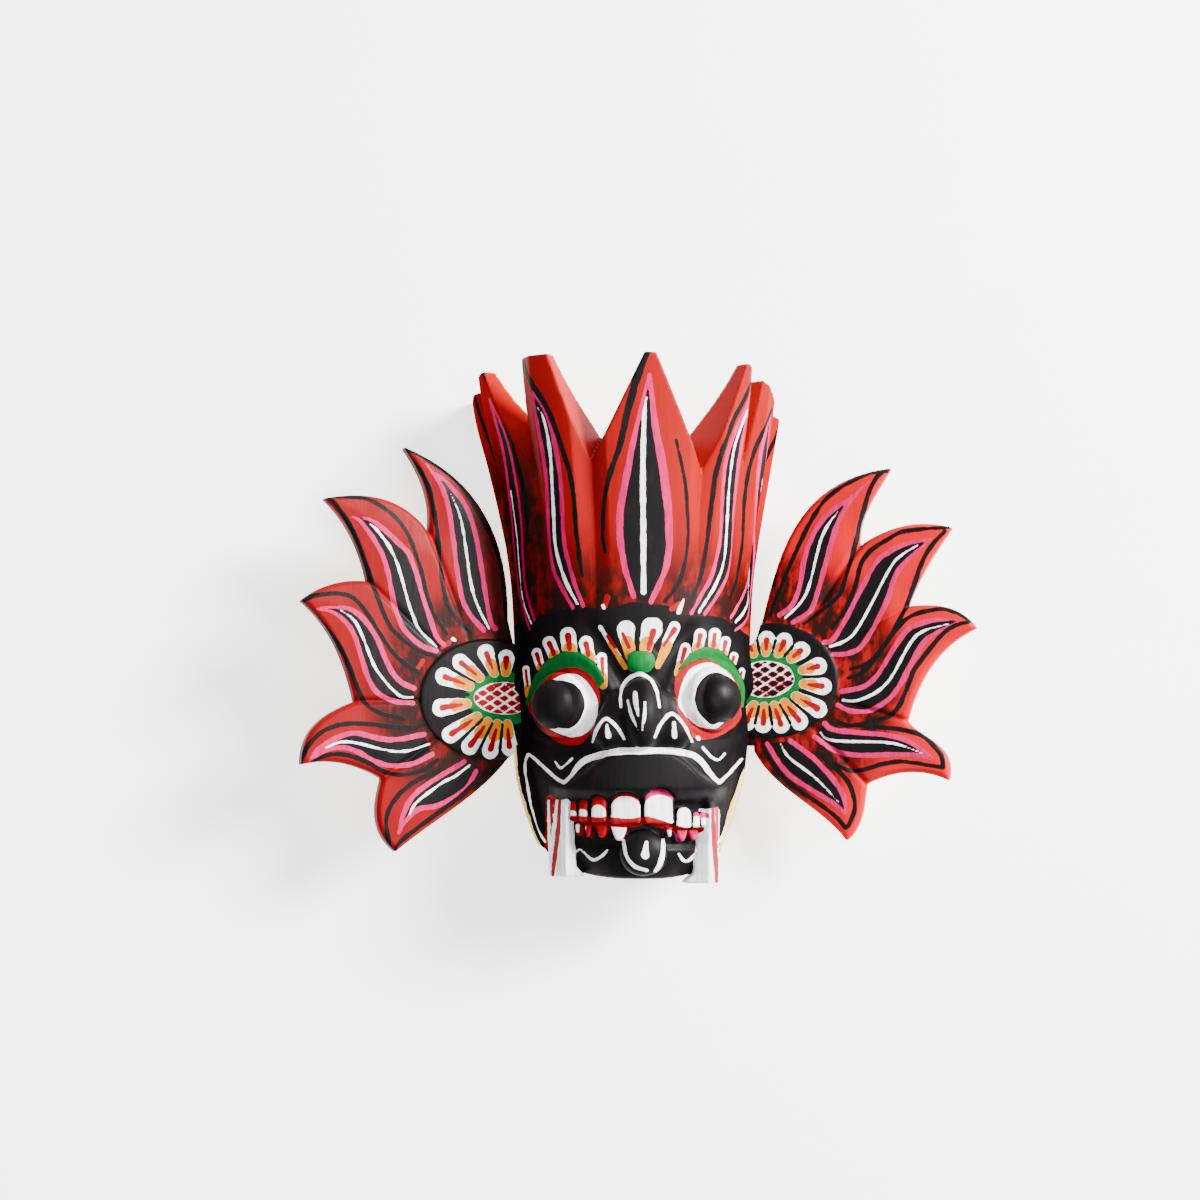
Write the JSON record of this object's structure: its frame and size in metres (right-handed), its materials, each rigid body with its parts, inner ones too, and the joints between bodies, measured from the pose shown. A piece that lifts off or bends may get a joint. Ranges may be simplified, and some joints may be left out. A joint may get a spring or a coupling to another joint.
{
  "type": "carved raksha mask",
  "caption": "Painted wooden demon mask with a hollow half-round head, a crown of pointed flames, bulging eyes, corner tusks and a flat flame-edged wing at each side.",
  "frame": {"origin": "middle of the bounding box's underside, in the plane of the flat back rim that the mask lies on", "axes": "+X to the viewer's right, +Y up the face from the chin to the crown, +Z out of the face; the mask lies on its back"},
  "size_m": [0.1926, 0.148, 0.0491],
  "materials": {
    "painted_head": "satin brush paint",
    "painted_wing_left": "satin brush paint",
    "painted_wing_right": "satin brush paint"
  },
  "bodies": {
    "root": {"head": "painted_head", "wing_left": "painted_wing_left", "wing_right": "painted_wing_right"}
  },
  "joints": []
}
